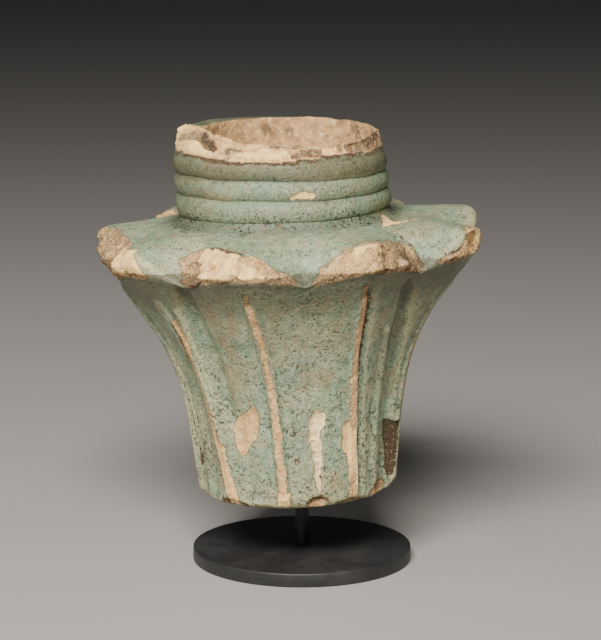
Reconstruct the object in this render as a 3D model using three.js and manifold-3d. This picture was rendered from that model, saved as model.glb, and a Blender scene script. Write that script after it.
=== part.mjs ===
// A small Egyptian column capital of glazed faience on its museum stand.
// Nine palm fronds rise from a narrow foot, flare out and end in a scalloped lip.
// A banded neck with an open socket stands on the lip. The foot is drilled for a steel rod,
// and the rod stands in a round steel disc.
// Millimetres, +Z up, origin at the centre of the disc's underside, -Y towards the viewer.

import * as THREE from "three";
import { mergeVertices } from "three/addons/utils/BufferGeometryUtils.js";
import Module from "manifold-3d";

const wasm = await Module();
wasm.setup();

// The stand: a plate disc and a plain rod.
const discDiameter = 76.2;
const discThickness = 4.8;
const discChamfer = 0.5;
const rodDiameter = 4.8;
const rodSeatDepth = 3.2;
const rodClearance = 0.3;
const standHeight = 26;

// The capital, measured along its own leaning axis from its foot.
const footRadius = 34.3;
const footRounding = 2.2;
const bellHeight = 83;
const lipRadius = 66;
const lipHeight = 8.4;
const shoulderRise = 2.8;
const lipRounding = 3.4;
const neckRadius = 36.8;
const neckTaper = 0.6;
const bandHeights = [7.9, 6.5, 6.4];
const grooveDepth = 0.9;
const collarRise = 2.4;
const rimHeight = 8.5;
const rimSlope = 0.7;
const rimRounding = 3.6;
const rimWear = 4;
const rimWearDirection = THREE.MathUtils.degToRad(5);

// The socket in the neck and the hole for the rod.
const neckWall = 8;
const socketTaper = 3.6;
const socketRounding = 6;
const socketShift = 3;
const dowelDepth = 20;
const dowelCover = 14;

// The nine fronds: where each one's rib stands at the foot, the waist and the lip, in degrees,
// and where the notch after it stands. They were laid by hand, so the steps are uneven.
// 0 faces the viewer, and +90 is +X.
const ribLines = [
  [-71, -71, -95],
  [-38.5, -47.5, -48],
  [-7, -9.5, -13.5],
  [33.5, 31, 24],
  [74, 75, 68],
  [117, 114, 107],
  [159, 154, 144.5],
  [201, 195, 181.5],
  [244, 237, 219],
];
const notchLines = [
  [-54, -59, -75],
  [-24, -32.5, -33.5],
  [12.3, 9, 5.7],
  [60.7, 55, 47],
  [97, 96, 88],
  [138, 135, 126],
  [180, 175, 163],
  [223, 216, 200],
  [266, 258, 238],
];
const waist = 0.53;

// How far each frond's tip reaches past the lip's radius, and how much higher it ends.
const tipReach = [-0.2, 0, -0.6, -0.4, 2.6, 2.6, 0.8, 0, 0.4];
const tipRise = [1.4, 0, -0.6, 0.4, 0.4, 2.2, 1.4, 0.8, 1.2];

// How deep each notch is in the lip, and each valley between two fronds on the bell, as a
// share of the ordinary one.
const notchShares = [0.9, 1, 1, 1, 0.4, 0.8, 1, 0.9, 0.5];
const valleyShares = [1.1, 1.3, 0.3, 2.3, 1.2, 1, 1.4, 1.1, 1];

const notchDepth = 6.4;
const notchDrop = 10.6;
const fluteDepth = 1.1;
const ribWidth = 3.2;
const ribHeight = 1.1;
const ribSide = 0.7;
const ribEnd = 0.9;

// Half the depth, the width and the height of an ordinary bite out of the edge.
const biteDepth = 5;
const biteWidth = 9;
const biteHeight = 5;

// How the capital leans on its rod, and how its neck leans and its bands tip on it.
const lean = THREE.MathUtils.degToRad(2.5);
const footShift = -1.6;
const neckLean = 1.3;
const bandTip = THREE.MathUtils.degToRad(2.2);

const roundSegments = 80;
const rodSegments = 24;
const socketSegments = 40;

const neckFoot = bellHeight + lipHeight + shoulderRise;
const bandsFoot = neckFoot + collarRise;
const bandsTop = bandsFoot + bandHeights.reduce((sum, height) => sum + height, 0);
const capitalHeight = bandsTop + rimHeight;

const { lerp, smoothstep } = THREE.MathUtils;

// A closed mesh as a manifold-3d solid, and back.
function toSolid(geometry) {
  const bare = new THREE.BufferGeometry().setAttribute("position", geometry.getAttribute("position"));
  if (geometry.index) bare.setIndex(geometry.index);
  const merged = mergeVertices(bare, 1e-4);
  const vertProperties = new Float32Array(merged.attributes.position.array);
  const triVerts = new Uint32Array(merged.index.array);
  return new wasm.Manifold(new wasm.Mesh({ numProp: 3, vertProperties, triVerts }));
}

function toGeometry(solid) {
  const made = solid.getMesh();
  const geometry = new THREE.BufferGeometry();
  geometry.setAttribute("position", new THREE.BufferAttribute(made.vertProperties, 3));
  geometry.setIndex(new THREE.BufferAttribute(made.triVerts, 1));
  return geometry;
}

// A turned solid about +Z. The profile runs from the axis, anticlockwise, back to the axis.
function turned(profile, segments) {
  const points = profile.map(([radius, height]) => new THREE.Vector2(radius, height));
  return new THREE.LatheGeometry(points, segments).rotateX(Math.PI / 2);
}

// How the bell widens from the foot (0) to the lip (1), and how the shoulder falls to the lip.
const flareCurve = new THREE.SplineCurve([
  new THREE.Vector2(0, 0),
  new THREE.Vector2(0.22, 0.048),
  new THREE.Vector2(0.46, 0.145),
  new THREE.Vector2(0.64, 0.305),
  new THREE.Vector2(0.785, 0.533),
  new THREE.Vector2(0.89, 0.738),
  new THREE.Vector2(1, 0.955),
]);

function flare(share) {
  let low = 0;
  let high = 1;
  for (let step = 0; step < 24; step++) {
    const middle = (low + high) / 2;
    if (flareCurve.getPoint(middle).x < share) low = middle;
    else high = middle;
  }
  return flareCurve.getPoint(low).y;
}

// One row of the outer skin: its radius and height on a frond's crest, how far the valley and
// the notch between two fronds lie inside it and the notch below it, how proud the ribs
// stand, and how much of the tip's own reach and rise it takes.
function bellRow(share) {
  const ribFade = Math.min(smoothstep(share, 0.005, 0.05), 1 - smoothstep(share, ribEnd - 0.04, ribEnd));
  return {
    radius: lerp(footRadius, lipRadius, flare(share)),
    height: share * bellHeight,
    valley: fluteDepth * (1 - share ** 2.6),
    inside: notchDepth * 0.9 * share ** 2.6,
    below: notchDrop * 0.36 * share ** 5,
    rib: ribHeight * ribFade,
    tip: smoothstep(share, 0.75, 1),
  };
}

function lipRow(share, proud, below) {
  return {
    radius: lipRadius - proud,
    height: bellHeight + share * lipHeight,
    valley: 0,
    inside: notchDepth,
    below: below * notchDrop,
    rib: 0,
    tip: 1,
  };
}

function shoulderRow(share) {
  return {
    radius: lerp(neckRadius + collarRise, lipRadius - lipRounding, share),
    height: neckFoot - shoulderRise * share ** 1.5,
    valley: 0,
    inside: notchDepth * 0.85 * share ** 1.5,
    below: notchDrop * share ** 2.4,
    rib: 0,
    tip: share,
  };
}

function neckRow(radius, height, worn = 0) {
  return { radius, height, valley: 0, inside: 0, below: 0, rib: 0, tip: 0, worn };
}

function bandRows(foot, height) {
  const shoulder = height * 0.16;
  const radius = neckRadius - (neckTaper * (foot - bandsFoot)) / (bandsTop - bandsFoot);
  return [
    neckRow(radius - grooveDepth, foot),
    neckRow(radius - grooveDepth * 0.25, foot + shoulder),
    neckRow(radius, foot + height * 0.5),
    neckRow(radius - grooveDepth * 0.25, foot + height - shoulder),
  ];
}

function outerRows() {
  const bellShares = [0.04, 0.1, 0.2, 0.3, 0.4, 0.49, 0.57, 0.64, 0.7, 0.76, 0.82, 0.88, 0.94, 0.98];
  const shoulderShares = [1, 0.8, 0.6, 0.4, 0.2];
  const rows = [
    neckRow(footRadius - footRounding * 2.2, 0),
    neckRow(footRadius - footRounding, footRounding * 0.12),
    neckRow(footRadius - footRounding * 0.3, footRounding * 0.6),
    ...bellShares.map(bellRow),
    lipRow(0.06, 0.7, 0.4),
    lipRow(0.45, 0, 0.68),
    lipRow(0.85, 0.6, 0.93),
    ...shoulderShares.map(shoulderRow),
    neckRow(neckRadius + collarRise * 0.3, neckFoot + collarRise * 0.3),
  ];
  let foot = bandsFoot;
  for (const height of bandHeights) {
    rows.push(...bandRows(foot, height));
    foot += height;
  }
  const rimTop = neckRadius - neckTaper - rimSlope;
  rows.push(neckRow(rimTop, bandsTop, 0.1));
  rows.push(neckRow(rimTop - rimRounding * 0.1, bandsTop + rimHeight * 0.5, 0.5));
  rows.push(neckRow(rimTop - rimRounding * 0.4, bandsTop + rimHeight * 0.85, 0.9));
  rows.push(neckRow(rimTop - rimRounding, capitalHeight, 1));
  return rows;
}

// Where a line stands at a share of the bell's height: a curve through its three angles.
function along([foot, middle, lip], share) {
  const atFoot = (foot * (share - waist) * (share - 1)) / waist;
  const atWaist = (middle * share * (share - 1)) / (waist * (waist - 1));
  const atLip = (lip * share * (share - waist)) / (1 - waist);
  return atFoot + atWaist + atLip;
}

// The columns of one frond, from the notch before it up to the notch after it, with a pair
// on each edge of its rib, which keeps its width while the frond widens. Each column knows
// its place across the frond, from -1 in one notch through 0 on the crest to 1 in the other.
const beforeRib = [0, 0.32, 0.64];
const afterRib = [0.36, 0.68];

function frondColumns(index, radius, rise) {
  const rib = along(ribLines[index], rise);
  const after = along(notchLines[index], rise);
  const before = index > 0 ? along(notchLines[index - 1], rise) : along(notchLines.at(-1), rise) - 360;
  const crest = (before + after) / 2;
  const top = THREE.MathUtils.radToDeg(ribWidth / 2 / radius);
  const edge = THREE.MathUtils.radToDeg((ribWidth / 2 + ribSide) / radius);
  const columns = [
    ...beforeRib.map((share) => ({ angle: lerp(before, rib, share), rib: 0 })),
    { angle: rib - edge, rib: 0 },
    { angle: rib - top, rib: 1 },
    { angle: rib + top, rib: 1 },
    { angle: rib + edge, rib: 0 },
    ...afterRib.map((share) => ({ angle: lerp(rib, after, share), rib: 0 })),
  ];
  return columns.map((column) => ({
    ...column,
    share: (column.angle - crest) / (after - crest),
    depth: column.angle > crest ? notchShares[index] : notchShares.at(index - 1),
    valley: column.angle > crest ? valleyShares[index] : valleyShares.at(index - 1),
    reach: tipReach[index],
    rise: tipRise[index],
  }));
}

// 1 on a frond's crest and 0 in the notch, as a scallop with a softened corner.
function scallop(share) {
  return (1 - share * share) * 0.55 + ((1 + Math.cos(Math.PI * share)) / 2) * 0.45;
}

function skinPoint(row, column) {
  const crest = scallop(column.share);
  const notch = (1 - crest) * column.depth;
  const valley = (1 - crest) * column.valley;
  const tip = row.tip * crest;
  const angle = THREE.MathUtils.degToRad(column.angle);
  const worn = (row.worn ?? 0) * rimWear * ((1 + Math.cos(angle - rimWearDirection)) / 2) ** 3;
  const sunk = row.valley * valley + row.inside * notch;
  const radius = row.radius - sunk + row.rib * column.rib + tip * column.reach - worn;
  const height = row.height - row.below * notch + tip * column.rise - worn;
  const up = Math.max(0, height - neckFoot) / (capitalHeight - neckFoot);
  const x = radius * Math.sin(angle) - neckLean * up;
  const tipped = bandTip * smoothstep(up, 0, 0.55);
  return [x, -radius * Math.cos(angle), height - x * Math.tan(tipped)];
}

// The outer skin as one closed mesh: rows of quads between two poles on the axis.
function outerSkin() {
  const rows = outerRows();
  const positions = [0, 0, 0];
  const faces = [];
  let across = 0;
  for (const row of rows) {
    const rise = THREE.MathUtils.clamp(row.height / bellHeight, 0, 1);
    const columns = ribLines.flatMap((_, index) => frondColumns(index, row.radius, rise));
    across = columns.length;
    for (const column of columns) positions.push(...skinPoint(row, column));
  }
  positions.push(-neckLean, 0, capitalHeight);
  const last = positions.length / 3 - 1;
  for (let at = 0; at < across; at++) {
    const next = (at + 1) % across;
    faces.push(0, 1 + next, 1 + at);
    for (let row = 0; row + 1 < rows.length; row++) {
      const low = 1 + row * across;
      const high = low + across;
      faces.push(low + at, low + next, high + next, low + at, high + next, high + at);
    }
    const top = 1 + (rows.length - 1) * across;
    faces.push(last, top + at, top + next);
  }
  const geometry = new THREE.BufferGeometry();
  geometry.setAttribute("position", new THREE.Float32BufferAttribute(positions, 3));
  geometry.setIndex(faces);
  return geometry;
}

// The socket: a tapering hole with a rounded floor, open at the rim.
function socketTool() {
  const mouth = neckRadius - neckWall;
  const floor = dowelDepth + dowelCover;
  const foot = mouth - socketTaper;
  const above = capitalHeight + rimHeight;
  const profile = [[0, floor]];
  for (let step = 0; step <= 4; step++) {
    const turn = (step / 4) * (Math.PI / 2);
    profile.push([
      foot - socketRounding + socketRounding * Math.sin(turn),
      floor + socketRounding - socketRounding * Math.cos(turn),
    ]);
  }
  profile.push([lerp(foot, mouth, 0.6), bellHeight], [mouth, capitalHeight - 2], [mouth, above], [0, above]);
  return turned(profile, socketSegments).translate(socketShift, 0, 0);
}

// A bite knocked out of an edge: an egg placed by its angle, and by how far its middle stands
// outside and above that edge, all sized against the ordinary bite.
function biteTool({ edge, angle, out, up, deep = 1, wide = 1, tall = 1 }) {
  const egg = new THREE.IcosahedronGeometry(1, 2);
  return egg
    .scale(biteDepth * deep, biteWidth * wide, biteHeight * tall)
    .translate(edge.radius + biteDepth * out, 0, edge.height + biteHeight * up)
    .rotateZ(THREE.MathUtils.degToRad(angle - 90));
}

// The losses that show in the outline, from the lip round to the foot.
const lipEdge = { radius: lipRadius, height: bellHeight + lipHeight / 2 };
const footEdge = { radius: footRadius, height: 0 };
const bites = [
  { edge: lipEdge, angle: -92, out: 1.5, up: 2, deep: 2.6, wide: 1.5, tall: 2.8 },
  { edge: lipEdge, angle: -62, out: 1.3, up: 1.5, deep: 2.6, wide: 1.35, tall: 3 },
  { edge: lipEdge, angle: -25, out: 1.2, up: 1.8, deep: 2.8, wide: 1.45, tall: 3.2 },
  { edge: lipEdge, angle: -8, out: 1.1, up: 1.2, deep: 2.4, wide: 1.2, tall: 2.6 },
  { edge: lipEdge, angle: 18, out: 1.1, up: 1.4, deep: 2.4, wide: 1.1, tall: 2.6 },
  { edge: lipEdge, angle: 36, out: 1.2, up: 1.8, deep: 2.8, wide: 1.5, tall: 3.2 },
  { edge: lipEdge, angle: 56, out: 0.9, up: -0.9, deep: 1.2, wide: 0.7, tall: 0.5 },
  { edge: lipEdge, angle: 68, out: 1.5, up: 0, deep: 1.6, wide: 1, tall: 1.2 },
  { edge: footEdge, angle: 12, out: 0.2, up: -0.2, deep: 0.8, wide: 0.38, tall: 0.92 },
  { edge: footEdge, angle: 57, out: 0.3, up: -0.2, deep: 0.8, wide: 0.66, tall: 0.8 },
];

function makeCapital(place) {
  const skin = toSolid(outerSkin());
  const hole = new THREE.CylinderGeometry(
    rodDiameter / 2 + rodClearance,
    rodDiameter / 2 + rodClearance,
    dowelDepth * 2,
    rodSegments,
  );
  hole.rotateX(Math.PI / 2).translate(0, 0, standHeight).applyMatrix4(place.clone().invert());
  let solid = skin.subtract(toSolid(socketTool())).subtract(toSolid(hole));
  for (const bite of bites) solid = solid.subtract(toSolid(biteTool(bite)));
  return toGeometry(solid);
}

function makeDisc() {
  const radius = discDiameter / 2;
  const seat = rodDiameter / 2 + rodClearance;
  const seatFloor = discThickness - rodSeatDepth;
  return turned(
    [
      [0, 0],
      [radius - discChamfer, 0],
      [radius, discChamfer],
      [radius, discThickness - discChamfer],
      [radius - discChamfer, discThickness],
      [seat, discThickness],
      [seat, seatFloor],
      [0, seatFloor],
    ],
    roundSegments,
  );
}

function makeRod() {
  const radius = rodDiameter / 2;
  const chamfer = radius * 0.2;
  const foot = discThickness - rodSeatDepth + rodClearance;
  const head = standHeight + dowelDepth - rodClearance - footRadius * Math.tan(lean) * 0.5;
  return turned(
    [
      [0, foot],
      [radius - chamfer, foot],
      [radius, foot + chamfer],
      [radius, head - chamfer],
      [radius - chamfer, head],
      [0, head],
    ],
    rodSegments,
  );
}

const glazedFaience = new THREE.MeshStandardMaterial({ color: 0x9dab98, roughness: 0.6, metalness: 0 });
const blackSteel = new THREE.MeshStandardMaterial({ color: 0x2e2e2e, roughness: 0.55, metalness: 0 });

const columnCapital = new THREE.Group();

const leaning = new THREE.Group();
leaning.position.set(footShift, 0, standHeight);
leaning.rotation.y = -lean;
leaning.updateMatrixWorld();
columnCapital.add(leaning);

const capital = new THREE.Mesh(makeCapital(leaning.matrixWorld), glazedFaience);
capital.name = "capital";
leaning.add(capital);

const disc = new THREE.Mesh(makeDisc(), blackSteel);
disc.name = "stand_disc";
columnCapital.add(disc);

const rod = new THREE.Mesh(makeRod(), blackSteel);
rod.name = "stand_rod";
columnCapital.add(rod);

export default columnCapital;
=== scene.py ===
# A small Egyptian column capital of glazed faience, on the steel rod and disc that hold it up.
# The capital keeps its chips, its lean and its worn glaze as they are.

import math

import bpy
import numpy as np
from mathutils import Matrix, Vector, noise


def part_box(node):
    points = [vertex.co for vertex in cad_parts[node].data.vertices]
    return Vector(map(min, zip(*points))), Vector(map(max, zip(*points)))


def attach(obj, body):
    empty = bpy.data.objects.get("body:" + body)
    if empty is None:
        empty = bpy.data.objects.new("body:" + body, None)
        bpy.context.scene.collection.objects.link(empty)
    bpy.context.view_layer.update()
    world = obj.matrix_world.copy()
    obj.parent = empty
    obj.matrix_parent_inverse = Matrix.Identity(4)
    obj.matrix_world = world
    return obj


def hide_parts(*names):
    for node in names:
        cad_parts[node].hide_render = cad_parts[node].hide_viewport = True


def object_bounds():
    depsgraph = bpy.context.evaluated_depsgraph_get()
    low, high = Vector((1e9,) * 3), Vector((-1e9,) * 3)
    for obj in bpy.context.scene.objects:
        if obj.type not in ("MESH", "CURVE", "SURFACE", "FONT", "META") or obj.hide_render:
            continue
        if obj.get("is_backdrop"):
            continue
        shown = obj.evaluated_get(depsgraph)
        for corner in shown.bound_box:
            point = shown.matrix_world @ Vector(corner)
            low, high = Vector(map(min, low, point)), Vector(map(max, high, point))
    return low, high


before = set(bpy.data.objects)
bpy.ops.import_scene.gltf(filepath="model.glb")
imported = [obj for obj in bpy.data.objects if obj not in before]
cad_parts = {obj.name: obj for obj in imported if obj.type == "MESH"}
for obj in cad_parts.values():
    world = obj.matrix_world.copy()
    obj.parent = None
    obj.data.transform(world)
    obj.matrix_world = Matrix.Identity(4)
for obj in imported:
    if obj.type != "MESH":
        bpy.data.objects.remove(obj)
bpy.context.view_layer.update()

# The camera stands in front, a little above the neck, and looks down by ten degrees.
# A long lens keeps the disc and the lip almost parallel.
camera_side = -0.0005
camera_distance = 0.8317
camera_height = 0.2372
camera_pitch = math.radians(10.4)
focal_length = 137.8
film_width = 36

bpy.ops.object.camera_add(
    location=(camera_side, -camera_distance, camera_height),
    rotation=(math.pi / 2 - camera_pitch, 0, 0),
)
camera = bpy.context.object
camera.data.lens = focal_length
camera.data.sensor_width = film_width
bpy.context.scene.camera = camera


# The capital: one body of fired quartz paste, modelled by hand, glazed and fired once.
# Nine palm fronds flare from the foot to a scalloped lip, and a banded neck with an open
# socket stands on them. It is drilled from below and slides onto the rod.
# Its sizes are in millimetres and degrees, from the middle of its own foot.
foot_radius = 34.3
foot_rounding = 2.2
sole_radius = foot_radius - 2.2 * foot_rounding
bell_height = 83
lip_radius = 66
lip_height = 8.4
shoulder_rise = 2.8
lip_rounding = 3.4
neck_radius = 36.8
neck_taper = 0.6
band_heights = [7.1, 6.5, 6.4]
groove_depth = 0.9
collar_rise = 3.2
rim_height = 8.5
rim_slope = 0.7
rim_rounding = 3.6
rim_wear = 4
rim_wear_direction = 5
neck_foot = bell_height + lip_height + shoulder_rise
bands_foot = neck_foot + collar_rise
bands_top = bands_foot + sum(band_heights)
capital_height = bands_top + rim_height

socket_mouth = neck_radius - 8
socket_foot = socket_mouth - 3.6
socket_rounding = 6
socket_shift = 3
socket_floor = 34
hole_radius = 2.7
hole_depth = 20

notch_depth = 6.4
notch_drop = 10.6
flute_depth = 1.1
rib_width = 3.2
rib_height = 1.1
rib_side = 0.7
rib_end = 0.9
waist = 0.53
flare_power = 2.6
bell_notch = 0.9
bell_drop = 0.36

stand_height = 26
lean = 2.5
foot_shift = -1.6
neck_lean = 1.3
band_tip = 2.2

# Each frond's rib at the foot, the waist and the lip, and the notch after it, in degrees.
# 0 faces the viewer, and +90 is +X.
rib_lines = np.array([
    [-71, -71, -95],
    [-38.5, -47.5, -48],
    [-7, -9.5, -13.5],
    [33.5, 31, 24],
    [74, 75, 68],
    [117, 114, 107],
    [159, 154, 144.5],
    [201, 195, 181.5],
    [244, 237, 219],
])
notch_lines = np.array([
    [-54, -59, -75],
    [-24, -32.5, -33.5],
    [12.3, 9, 5.7],
    [60.7, 55, 47],
    [97, 96, 88],
    [138, 135, 126],
    [180, 175, 163],
    [223, 216, 200],
    [266, 258, 238],
])
tip_reach = [-0.2, 0, -0.6, -0.4, 2.6, 2.6, 0.8, 0, 0.4]
tip_rise = [1.4, 0, -0.6, 0.4, 0.4, 2.2, 1.4, 0.8, 1.2]
notch_shares = [0.9, 1, 1, 1, 0.4, 0.8, 1, 0.9, 0.5]
valley_shares = [1.1, 1.3, 0.3, 2.3, 1.2, 1, 1.4, 1.1, 1]


def lerp(start, end, share):
    return start + (end - start) * share


def smooth(value, low, high):
    share = np.clip((value - low) / (high - low), 0, 1)
    return share * share * (3 - 2 * share)


def curve_through(points, steps):
    """A smooth curve through the points, with so many steps from each to the next."""
    points = np.array(points, float)
    made = []
    for at in range(len(points) - 1):
        before = points[max(at - 1, 0)]
        start, end = points[at], points[at + 1]
        after = points[min(at + 2, len(points) - 1)]
        leaving = (end - before) / 2
        arriving = (after - start) / 2
        for t in np.arange(steps) / steps:
            cubic = (2 * start - 2 * end + leaving + arriving) * t**3
            square = (3 * end - 3 * start - 2 * leaving - arriving) * t**2
            made.append(cubic + square + leaving * t + start)
    made.append(points[-1])
    return np.array(made)


flare_curve = curve_through(
    [(0, 0), (0.22, 0.048), (0.46, 0.145), (0.64, 0.305), (0.785, 0.533), (0.89, 0.738), (1, 0.955)],
    40,
)


# A row of the skin is its radius and height on a frond's crest, how far the valley and the
# notch lie inside it and the notch below it, how proud the rib stands, how much of the
# tip's reach and rise it takes, and how much of the rim's wear.
def bell_row(share):
    rib_fade = min(smooth(share, 0.005, 0.05), 1 - smooth(share, rib_end - 0.04, rib_end))
    return [
        lerp(foot_radius, lip_radius, np.interp(share, flare_curve[:, 0], flare_curve[:, 1])),
        share * bell_height,
        flute_depth * (1 - share**flare_power),
        notch_depth * bell_notch * share**flare_power,
        notch_drop * bell_drop * share**5,
        rib_height * rib_fade,
        smooth(share, 0.75, 1),
        0,
    ]


def lip_row(share, proud, below):
    height = bell_height + share * lip_height
    return [lip_radius - proud, height, 0, notch_depth, below * notch_drop, 0, 1, 0]


def shoulder_row(share):
    return [
        lerp(neck_radius + collar_rise, lip_radius - lip_rounding, share),
        neck_foot - shoulder_rise * share**1.5,
        0,
        notch_depth * 0.85 * share**1.5,
        notch_drop * share**2.4,
        0,
        share,
        0,
    ]


def plain_row(radius, height, worn=0):
    return [radius, height, 0, 0, 0, 0, 0, worn]


def band_rows(foot, height, steps=12):
    rows = []
    radius = neck_radius - neck_taper * (foot - bands_foot) / (bands_top - bands_foot)
    for t in np.arange(steps) / steps:
        swell = math.sin(math.pi * t) ** 0.7
        rows.append(plain_row(radius + 0.1 - groove_depth * 1.4 * (1 - swell), foot + height * t))
    return rows


# From here to there the bell and the shoulder have their own rows, and curves join them.
bell_from, bell_to = 0.04, 0.98
shoulder_end = 0.2
rim_top = neck_radius - neck_taper - rim_slope
underside_rows = [plain_row(radius, 0) for radius in np.linspace(hole_radius, sole_radius, 13)]
foot_rows = curve_through(
    [
        plain_row(sole_radius, 0),
        plain_row(foot_radius - foot_rounding, foot_rounding * 0.12),
        plain_row(foot_radius - foot_rounding * 0.3, foot_rounding * 0.6),
        bell_row(bell_from),
    ],
    3,
)
bell_rows = [bell_row(share) for share in np.linspace(bell_from, bell_to, 84)]
lip_rows = curve_through(
    [
        bell_row(bell_to),
        lip_row(0.06, 0.7, 0.4),
        lip_row(0.45, 0, 0.68),
        lip_row(0.85, 0.6, 0.93),
        shoulder_row(1),
    ],
    4,
)
shoulder_rows = [shoulder_row(share) for share in np.linspace(1, shoulder_end, 27)]
collar_rows = curve_through(
    [
        shoulder_row(shoulder_end),
        plain_row(neck_radius + collar_rise * 0.3, neck_foot + collar_rise * 0.3),
        plain_row(neck_radius - groove_depth * 1.3, bands_foot),
    ],
    4,
)
neck_rows = []
band_foot = bands_foot
for band_height in band_heights:
    neck_rows += band_rows(band_foot, band_height)
    band_foot += band_height
rim_rows = curve_through(
    [
        plain_row(rim_top, bands_top, 0.1),
        plain_row(rim_top - rim_rounding * 0.1, bands_top + rim_height * 0.5, 0.5),
        plain_row(rim_top - rim_rounding * 0.4, bands_top + rim_height * 0.85, 0.9),
        plain_row(rim_top - rim_rounding, capital_height, 1),
    ],
    5,
)
outer_rows = np.array(
    [*underside_rows[:-1], *foot_rows[:-1], *bell_rows[:-1], *lip_rows[:-1], *shoulder_rows[:-1]]
    + [*collar_rows[:-1], *neck_rows, *rim_rows]
)


def along(lines, rise):
    """Where the lines stand at a share of the bell's height: curves through three angles."""
    at_foot = lines[..., 0] * (rise - waist) * (rise - 1) / waist
    at_waist = lines[..., 1] * rise * (rise - 1) / (waist * (waist - 1))
    at_lip = lines[..., 2] * rise * (rise - waist) / (1 - waist)
    return at_foot + at_waist + at_lip


# The columns of the skin: for each frond so many before its rib, across it and after it.
# The five fronds in front, with more chips on them, have finer ones.
front_columns = (20, 12, 21)
back_columns = (12, 8, 12)
fronds_in_front = 5


def skin_columns(radius, rise):
    """Angle, place on the rib, place across the frond and frond number of each column."""
    ribs = along(rib_lines, rise)
    after = along(notch_lines, rise)
    before = np.roll(after, 1)
    before[0] -= 360
    half = math.degrees((rib_width / 2 + rib_side) / max(radius, foot_radius))
    columns = []
    for frond in range(len(ribs)):
        before_rib, across_rib, after_rib = front_columns if frond < fronds_in_front else back_columns
        angles = np.concatenate([
            np.linspace(before[frond], ribs[frond] - half, before_rib, endpoint=False),
            np.linspace(ribs[frond] - half, ribs[frond] + half, across_rib, endpoint=False),
            np.linspace(ribs[frond] + half, after[frond], after_rib, endpoint=False),
        ])
        crest = (before[frond] + after[frond]) / 2
        for angle in angles:
            off_rib = math.radians(abs(angle - ribs[frond])) * radius
            on_rib = 1 - smooth(off_rib, rib_width / 2 - 0.2, rib_width / 2 + rib_side)
            columns.append((angle, on_rib, (angle - crest) / (after[frond] - crest), frond))
    first = columns[0]
    columns.append((first[0] + 360, *first[1:]))
    return np.array(columns).T


def skin(row):
    """The points of one row of the outer skin, in the capital's own millimetres."""
    radius, height, valley, inside, below, rib, tip, worn = row
    angle, on_rib, share, frond = skin_columns(radius, np.clip(height / bell_height, 0, 1))
    frond = frond.astype(int)
    depth = np.where(share > 0, np.take(notch_shares, frond), np.take(notch_shares, frond - 1))
    scallop = (1 - share**2) * 0.55 + (1 + np.cos(math.pi * share)) / 2 * 0.45
    notch = (1 - scallop) * depth
    fluting = np.where(share > 0, np.take(valley_shares, frond), np.take(valley_shares, frond - 1))
    turn = np.radians(angle)
    wear = worn * rim_wear * ((1 + np.cos(turn - math.radians(rim_wear_direction))) / 2) ** 3
    reach = tip * scallop * np.take(tip_reach, frond)
    lift = tip * scallop * np.take(tip_rise, frond)
    sunk = valley * (1 - scallop) * fluting + inside * notch
    outwards = radius - sunk + rib * on_rib + reach - wear
    upwards = height - below * notch + lift - wear
    return turn, outwards, upwards


def placed(turn, outwards, upwards):
    """Turns a row's angle, radius and height into points, with the neck's lean and tip."""
    up = np.maximum(0, upwards - neck_foot) / (capital_height - neck_foot)
    x = outwards * np.sin(turn) - neck_lean * up
    tipped = np.radians(band_tip) * smooth(up, 0, 0.55)
    return np.stack([x, -outwards * np.cos(turn), upwards - x * np.tan(tipped)], axis=-1)


turns, radii, heights = (np.array(values) for values in zip(*(skin(row) for row in outer_rows)))

# The rim ends where the socket's mouth cuts it, which is off the neck's own axis.
mouth_shift = socket_shift + neck_lean
mouth_reach = np.sqrt(socket_mouth**2 - (mouth_shift * np.cos(turns[-1])) ** 2)
mouth_edge = mouth_shift * np.sin(turns[-1]) + mouth_reach
rim_from = len(outer_rows) - len(rim_rows)
for column, edge in enumerate(mouth_edge):
    rim_radii = radii[rim_from:, column]
    rim_heights = heights[rim_from:, column]
    cut_height = np.interp(edge, rim_radii[::-1], rim_heights[::-1])
    heights[rim_from:, column] = np.where(rim_radii < edge, cut_height, rim_heights)
    radii[rim_from:, column] = np.maximum(rim_radii, edge)

outer_points = placed(turns, radii, heights)
top_turns = turns[-1]
mouth_points = placed(top_turns, mouth_edge, heights[-1])
rim_edge = outer_points[-1]
top_points = [lerp(rim_edge, mouth_points, share) for share in np.linspace(0.125, 1, 8)]


def socket_ring(radius, height):
    x = radius * np.sin(top_turns) + socket_shift
    return np.stack([x, -radius * np.cos(top_turns), height + 0 * x], axis=-1)


socket_points = []
for share in np.linspace(0.03, 1, 24) ** 1.4:
    height = lerp(mouth_points[:, 2], socket_floor + socket_rounding, share)
    radius = np.interp(
        height,
        [socket_floor + socket_rounding, bell_height, capital_height - 6],
        [socket_foot, lerp(socket_foot, socket_mouth, 0.6), socket_mouth],
    )
    ring = socket_ring(radius, height)
    socket_points.append(lerp(mouth_points * [1, 1, 0] + ring * [0, 0, 1], ring, smooth(share, 0, 0.1)))
for bend in np.radians([30, 60, 90]):
    radius = socket_foot - socket_rounding * (1 - math.cos(bend))
    socket_points.append(socket_ring(radius, socket_floor + socket_rounding * (1 - math.sin(bend))))
socket_points.append(socket_ring(8, socket_floor))
socket_points.append(socket_ring(0, socket_floor))

# The rod's hole is drilled upright, so in the leaning capital it runs aslant.
hole_points = []
hole_rings = [(0, hole_depth), *((hole_radius, height) for height in (hole_depth, 15, 10, 5, 2, 0.5))]
for radius, height in hole_rings:
    centre = -foot_shift + math.tan(math.radians(lean)) * height
    x = radius * np.sin(turns[0]) + centre
    hole_points.append(np.stack([x, -radius * np.cos(turns[0]), np.full_like(x, height)], axis=-1))
for at in range(len(underside_rows) - 1):
    outer_points[at, :, 0] -= foot_shift * (1 - at / (len(underside_rows) - 1)) ** 2

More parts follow.
